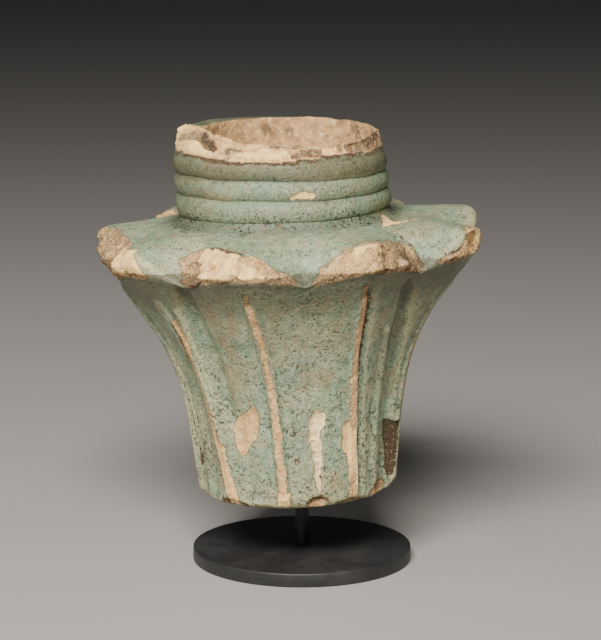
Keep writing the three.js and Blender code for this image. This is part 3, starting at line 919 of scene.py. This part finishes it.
def add(material, kind, inputs, output=0, **settings):
    """Adds a node with its settings and links, and gives back one of its outputs."""
    tree = material.node_tree
    made = tree.nodes.new(kind)
    for name, value in settings.items():
        setattr(made, name, value)
    for name, value in inputs.items():
        if isinstance(value, bpy.types.NodeSocket):
            tree.links.new(value, made.inputs[name])
        else:
            made.inputs[name].default_value = value
    return made.outputs[output]


def per_metre(millimetres):
    return 1000 / millimetres


# Worn copper-green faience glaze on a fired quartz body. The glaze is thin, soft and uneven:
# grey-green, bluer where it pooled, beige and brown where it wore, peppered with pits and
# crossed by short dark cracks. Where it is gone, the body is cream when fresh, brown when old.
faience = new_material("glazed_quartz_faience_worn")
faience_links = faience.node_tree.links
shader = faience.node_tree.nodes["Principled BSDF"]
place = add(faience, "ShaderNodeTexCoord", {}, "Object")
bare_mm, body_tone, stained, crazing, shade_and_grime, grit_share, hollow_mm = [
    add(faience, "ShaderNodeAttribute", {}, "Fac", attribute_name=name) for name in painted
]

# The patterns, each with the size of its spots in millimetres, its detail and its warp.
pattern_sizes = {
    "blotches": (20, 2, 0),
    "patches": (8, 6, 0.8),
    "mottle": (3.6, 4, 0.4),
    "flakes": (2, 3, 0.6),
    "flecks": (0.95, 3, 0),
    "grains": (0.55, 2, 0),
    "strokes": (1.2, 1, 0),
    "reaches": (11, 2, 0),
    "edges": (2.2, 4, 0.3),
    "tones": (3.2, 4, 0.5),
}
patterns = {}
for name, (size, detail, warp) in pattern_sizes.items():
    inputs = {"Vector": place, "Scale": per_metre(size), "Detail": detail, "Distortion": warp}
    patterns[name] = add(faience, "ShaderNodeTexNoise", {**inputs, "Roughness": 0.6})

# The glaze's colours, laid one over the other: the pattern, where it starts and is full, how
# much of it covers, and its colour.
worn_inputs = {0: stained, 1: 0.16, 2: patterns["patches"]}
blue_inputs = {0: stained, 1: -0.2, 2: patterns["patches"]}
worn_patches = add(faience, "ShaderNodeMath", worn_inputs, operation="MULTIPLY_ADD")
blue_patches = add(faience, "ShaderNodeMath", blue_inputs, operation="MULTIPLY_ADD")
glaze_layers = [
    (patterns["blotches"], 0.4, 0.6, 1, "#949979"),
    (patterns["mottle"], 0.5, 0.7, 0.6, "#b7bb9c"),
    (patterns["mottle"], 0.5, 0.3, 0.75, "#5f6650"),
    (blue_patches, 0.55, 0.78, 0.4, "#79a28a"),
    (hollow_mm, 0.03, 0.25, 0.45, "#637d68"),
    (hollow_mm, -0.05, -0.25, 0.6, "#bab68c"),
    (worn_patches, 0.5, 0.74, 0.7, "#9c8a68"),
    (patterns["flakes"], 0.55, 0.67, 0.55, "#ad967a"),
    (patterns["grains"], 0.43, 0.33, 0.45, "#c6c8ad"),
    (patterns["grains"], 0.57, 0.68, 0.5, "#585c47"),
    (patterns["flecks"], 0.58, 0.66, 0.9, "#3b392a"),
    # Painted shade under the lip, in the neck's foot and the right valley, and the darker neck, over
    # the glaze.
    (shade_and_grime, 0, 1, 0.7, "#3f3b28"),
]
glaze = srgb("#82997c")
for pattern, start, full, cover, colour in glaze_layers:
    inputs = {"Value": pattern, "From Min": start, "From Max": full, "To Max": cover}
    share = add(faience, "ShaderNodeMapRange", inputs, interpolation_type="SMOOTHSTEP")
    glaze = add(faience, "ShaderNodeMix", {0: share, 6: glaze, 7: srgb(colour)}, 2, data_type="RGBA")

# The cracks: edges of 2 mm cells, bent, kept only in short strokes and where it is crazed.
# Real crazing is finer than a pixel, so the lines are drawn as wide as they need to show.
crack_cell = 2
crack_curl = 1.1
crack_bend = (0.0016,) * 3
curl_inputs = {"Vector": place, "Scale": per_metre(crack_curl), "Detail": 2}
curls = add(faience, "ShaderNodeTexNoise", curl_inputs, "Color")
bend_inputs = {0: curls, 1: crack_bend, 2: place}
bent = add(faience, "ShaderNodeVectorMath", bend_inputs, operation="MULTIPLY_ADD")
cell_inputs = {"Vector": bent, "Scale": per_metre(crack_cell)}
cell_edges = add(faience, "ShaderNodeTexVoronoi", cell_inputs, feature="DISTANCE_TO_EDGE")
crack_limits = [
    (cell_edges, 0.11, 0.05),
    (patterns["strokes"], 0.5, 0.56),
    (patterns["reaches"], 0.38, 0.56),
]
cracks = crazing
for pattern, start, full in crack_limits:
    share = add(faience, "ShaderNodeMapRange", {"Value": pattern, "From Min": start, "From Max": full})
    cracks = add(faience, "ShaderNodeMath", {0: cracks, 1: share}, operation="MULTIPLY", use_clamp=True)
glaze = add(faience, "ShaderNodeMix", {0: cracks, 6: glaze, 7: srgb("#262620")}, 2, data_type="RGBA")

# The bare body's colours over its cream, by its tone with small shifts, then its dark pits,
# which fade where it is smooth.
flecks = add(faience, "ShaderNodeMix", {0: grit_share, 2: 0.5, 3: patterns["flecks"]})
grains = add(faience, "ShaderNodeMix", {0: grit_share, 2: 0.5, 3: patterns["grains"]})
shift_inputs = {0: patterns["tones"], 1: 1.1, 2: body_tone}
tone_shift = add(faience, "ShaderNodeMath", shift_inputs, operation="MULTIPLY_ADD")
body_layers = [
    (tone_shift, 0.4, 0, 1, "#ffe4b4"),
    (tone_shift, 0.62, 1.05, 1, "#c8a16e"),
    (tone_shift, 1.02, 1.5, 1, "#7f6648"),
    (hollow_mm, 0.06, 0.3, 0.35, "#7d5f3c"),
    (patterns["flakes"], 0.55, 0.66, 0.45, "#ffdfae"),
    (tone_shift, 1.5, 1.9, 0.9, "#3d3021"),
    # The same painted shade and darker tone over the bare body.
    (shade_and_grime, 0.3, 1, 0.8, "#54402a"),
    (flecks, 0.56, 0.66, 0.75, "#553d24"),
    (grains, 0.55, 0.67, 0.55, "#6a4f31"),
    (grains, 0.44, 0.34, 0.4, "#ffe8bc"),
]
body = srgb("#ffd58c")
for pattern, start, full, cover, colour in body_layers:
    inputs = {"Value": pattern, "From Min": start, "From Max": full, "To Max": cover}
    share = add(faience, "ShaderNodeMapRange", inputs, interpolation_type="SMOOTHSTEP")
    body = add(faience, "ShaderNodeMix", {0: share, 6: body, 7: srgb(colour)}, 2, data_type="RGBA")

# The glaze ends in a ragged edge, darkened here and there by dirt that caught on it.
ragged_inputs = {0: patterns["edges"], 1: 2.2, 2: -1.1}
ragged = add(faience, "ShaderNodeMath", ragged_inputs, operation="MULTIPLY_ADD")
edge_mm = add(faience, "ShaderNodeMath", {0: bare_mm, 1: ragged})
is_bare = add(faience, "ShaderNodeMapRange", {"Value": edge_mm, "From Min": -0.08, "From Max": 0.08})
dirt_band = add(faience, "ShaderNodeMapRange", {"Value": edge_mm, "From Min": -0.6, "From Max": -0.1})
part_inputs = {"Value": patterns["mottle"], "From Min": 0.42, "From Max": 0.6, "To Max": 0.8}
dirt_parts = add(faience, "ShaderNodeMapRange", part_inputs)
dirt = add(faience, "ShaderNodeMath", {0: dirt_band, 1: dirt_parts}, operation="MULTIPLY")
glaze = add(faience, "ShaderNodeMix", {0: dirt, 6: glaze, 7: srgb("#4c4532")}, 2, data_type="RGBA")
colour = add(faience, "ShaderNodeMix", {0: is_bare, 6: glaze, 7: body}, 2, data_type="RGBA")
faience_links.new(colour, shader.inputs["Base Color"])

# The glaze has lost most of its shine, here more and there less, and the body is matt.
body_roughness = 0.92
wear_inputs = {"Value": patterns["mottle"], "From Min": 0.3, "From Max": 0.7}
glaze_roughness = add(faience, "ShaderNodeMapRange", {**wear_inputs, "To Min": 0.46, "To Max": 0.66})
roughness = add(faience, "ShaderNodeMix", {0: is_bare, 2: glaze_roughness, 3: body_roughness})
faience_links.new(roughness, shader.inputs["Roughness"])
shader.inputs["IOR"].default_value = 1.5

# The fine relief in millimetres: cracks and pits in the glaze, grit in the broken body, which
# lies below the glaze by the glaze's thickness.
glaze_relief = [
    (cracks, -0.2),
    (patterns["flecks"], -0.45),
    (patterns["mottle"], 0.35),
    (patterns["grains"], 0.2),
]
body_relief = [(flecks, -1.0), (patterns["flakes"], 0.6), (grains, 0.4)]
glaze_height, body_height = 0, -0.4
for pattern, depth in glaze_relief:
    inputs = {0: pattern, 1: depth, 2: glaze_height}
    glaze_height = add(faience, "ShaderNodeMath", inputs, operation="MULTIPLY_ADD")
for pattern, depth in body_relief:
    inputs = {0: pattern, 1: depth, 2: body_height}
    body_height = add(faience, "ShaderNodeMath", inputs, operation="MULTIPLY_ADD")
height = add(faience, "ShaderNodeMix", {0: is_bare, 2: glaze_height, 3: body_height})
strength = add(faience, "ShaderNodeMix", {0: is_bare, 2: 0.8, 3: 0.9})
bump = add(faience, "ShaderNodeBump", {"Height": height, "Distance": 0.001, "Strength": strength})
faience_links.new(bump, shader.inputs["Normal"])

capital.data.materials.append(faience)
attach(capital, "root")
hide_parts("capital")


# The stand's disc: a round blank turned from 3/16 inch steel plate, its edges broken with a
# file, drilled in the middle for the rod and sprayed satin black.
disc_radius = 0.0381
disc_thickness = 0.0048
disc_edge = 0.0005
seat_radius = 0.0027
seat_floor = 0.0016

bpy.ops.object.select_all(action="DESELECT")
bpy.ops.mesh.primitive_cylinder_add(
    vertices=160,
    radius=disc_radius,
    depth=disc_thickness,
    end_fill_type="NGON",
    location=(0, 0, disc_thickness / 2),
)
disc = bpy.context.object
disc.name = "stand_plate"
bpy.ops.object.transform_apply(location=True, rotation=True, scale=True)
bpy.ops.object.mode_set(mode="EDIT")
bpy.ops.mesh.select_all(action="DESELECT")
bpy.ops.object.mode_set(mode="OBJECT")
for face in disc.data.polygons:
    face.select = face.normal.z > 0.9
bpy.ops.object.mode_set(mode="EDIT")
bpy.ops.mesh.inset(thickness=disc_radius - seat_radius, depth=0)
bpy.ops.mesh.extrude_region_move(TRANSFORM_OT_translate={"value": (0, 0, seat_floor - disc_thickness)})
bpy.ops.mesh.select_all(action="DESELECT")
bpy.ops.object.mode_set(mode="OBJECT")
for edge in disc.data.edges:
    start, end = (disc.data.vertices[at].co for at in edge.vertices)
    on_rim_edge = min(start.xy.length, end.xy.length) > disc_radius * 0.99
    edge.select = on_rim_edge and abs(start.z - end.z) < disc_edge
bpy.ops.object.mode_set(mode="EDIT")
bpy.ops.mesh.bevel(offset=disc_edge, segments=3, affect="EDGES")
bpy.ops.mesh.select_all(action="SELECT")
bpy.ops.mesh.normals_make_consistent(inside=False)
bpy.ops.object.mode_set(mode="OBJECT")
bpy.ops.object.shade_smooth_by_angle(angle=math.radians(40))

# Satin black spray paint on steel: an even dark coat with the fine pebble of the spray,
# a little dust on top and slight rubbing.
paint = new_material("satin_black_sprayed_steel")
paint_shader = paint.node_tree.nodes["Principled BSDF"]
paint_place = add(paint, "ShaderNodeTexCoord", {}, "Object")
pebble = add(paint, "ShaderNodeTexNoise", {"Vector": paint_place, "Scale": per_metre(0.7), "Detail": 2})
dust_inputs = {"Vector": paint_place, "Scale": per_metre(14), "Detail": 5, "Roughness": 0.65}
dust = add(paint, "ShaderNodeTexNoise", dust_inputs)
dusty = add(paint, "ShaderNodeMapRange", {"Value": dust, "From Min": 0.45, "From Max": 0.7})
coat_inputs = {0: dusty, 6: srgb("#232324"), 7: srgb("#323232")}
coat = add(paint, "ShaderNodeMix", coat_inputs, 2, data_type="RGBA")
gloss_inputs = {"Value": dust, "From Min": 0.3, "From Max": 0.7, "To Min": 0.42, "To Max": 0.56}
gloss = add(paint, "ShaderNodeMapRange", gloss_inputs)
paint_bump = add(paint, "ShaderNodeBump", {"Height": pebble, "Distance": 0.00004, "Strength": 0.6})
paint_links = paint.node_tree.links
paint_links.new(coat, paint_shader.inputs["Base Color"])
paint_links.new(gloss, paint_shader.inputs["Roughness"])
paint_links.new(paint_bump, paint_shader.inputs["Normal"])

disc.data.materials.append(paint)
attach(disc, "root")
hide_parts("stand_disc")


# The stand's rod: 3/16 inch round steel bar, cut to length with both ends chamfered. It is
# pressed into the disc and runs up into the capital's hole, painted with the disc.
rod_radius = 0.0024
rod_low, rod_high = (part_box("stand_rod")[at].z for at in (0, 1))
rod_chamfer = rod_radius * 0.2

bpy.ops.object.select_all(action="DESELECT")
bpy.ops.mesh.primitive_cylinder_add(
    vertices=48,
    radius=rod_radius,
    depth=rod_high - rod_low,
    end_fill_type="NGON",
    location=(0, 0, (rod_low + rod_high) / 2),
)
rod = bpy.context.object
rod.name = "stand_bar"
bpy.ops.object.transform_apply(location=True, rotation=True, scale=True)
bpy.ops.object.mode_set(mode="EDIT")
bpy.ops.mesh.select_all(action="DESELECT")
bpy.ops.object.mode_set(mode="OBJECT")
for edge in rod.data.edges:
    start, end = (rod.data.vertices[at].co for at in edge.vertices)
    edge.select = abs(start.z - end.z) < rod_chamfer
bpy.ops.object.mode_set(mode="EDIT")
bpy.ops.mesh.bevel(offset=rod_chamfer, segments=2, affect="EDGES")
bpy.ops.mesh.select_all(action="SELECT")
bpy.ops.mesh.normals_make_consistent(inside=False)
bpy.ops.object.mode_set(mode="OBJECT")
bpy.ops.object.shade_smooth_by_angle(angle=math.radians(40))
rod.data.materials.append(paint)
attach(rod, "root")
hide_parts("stand_rod")


# The floor: a plain pale sheet under the stand, wide enough to fill the view.
bpy.ops.object.select_all(action="DESELECT")
bpy.ops.mesh.primitive_plane_add(size=8, location=(0, 0, 0))
floor = bpy.context.object
floor.name = "floor"
floor_paint = new_material("pale_matt_board")
floor_shader = floor_paint.node_tree.nodes["Principled BSDF"]
floor_shader.inputs["Base Color"].default_value = srgb("#a29f9c")
floor_shader.inputs["Roughness"].default_value = 0.85
floor.data.materials.append(floor_paint)
floor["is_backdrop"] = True

# The light: one wide soft lamp high in front, a little to the left, a weak one on the left
# side, and a dim even sky, so that the lip shades the bell below it.
lamps = [
    ("key", (-0.17, -0.96, 0.88), 0.7, 0.35, 38),
    ("side", (-1.0, -0.35, 0.6), 0.6, 0.6, 2),
]
aim = Vector((0, 0, 0.09))
for name, location, width, height, power in lamps:
    bpy.ops.object.light_add(type="AREA", location=location)
    lamp = bpy.context.object
    lamp.name = name
    lamp.data.shape = "RECTANGLE"
    lamp.data.size = width
    lamp.data.size_y = height
    lamp.data.energy = power
    lamp.data.color = srgb("#fffaf2")[:3]
    lamp.rotation_euler = (aim - Vector(location)).to_track_quat("-Z", "Y").to_euler()
sky = bpy.data.worlds.new("studio")
sky.use_nodes = True
sky.node_tree.nodes["Background"].inputs["Color"].default_value = srgb("#d6d8dc")
sky.node_tree.nodes["Background"].inputs["Strength"].default_value = 0.05
bpy.context.scene.world = sky

# This model's box.
low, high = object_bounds()
